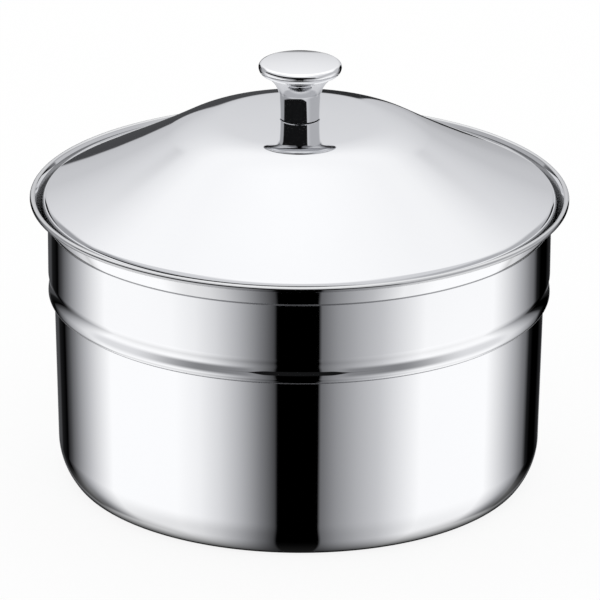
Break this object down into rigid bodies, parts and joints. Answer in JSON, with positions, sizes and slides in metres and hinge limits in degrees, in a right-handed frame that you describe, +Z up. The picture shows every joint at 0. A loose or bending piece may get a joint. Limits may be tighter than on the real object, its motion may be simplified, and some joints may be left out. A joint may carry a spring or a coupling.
{
  "type": "lidded soup pot",
  "caption": "Round polished steel soup pot with a flared rolled lip and a bead, made to hang in a counter opening, with a loose domed lid and a turned knob.",
  "frame": {"origin": "centre of the base's underside", "axes": "+Z up along the pot's axis, towards the knob; X and Y level"},
  "size_m": [0.3286, 0.3286, 0.2644],
  "materials": {
    "polished_steel": "mirror polished",
    "lid_steel": "mirror polished, a little softer than the pot",
    "fastener_steel": "plain bright",
    "spring_steel": "zinc plated",
    "seal_rubber": "matt"
  },
  "bodies": {
    "pot": {"pot_shell": "polished_steel"},
    "lid": {"lid_shell": "lid_steel", "knob": "polished_steel", "knob_seal": "seal_rubber", "flat_washer": "fastener_steel", "spring_washer": "spring_steel", "knob_screw": "fastener_steel"}
  },
  "joints": [
    {"name": "lid_lift", "type": "slide", "parent": "pot", "child": "lid", "axis": [0, 0, 1], "range_m": [0, 0.2]}
  ]
}
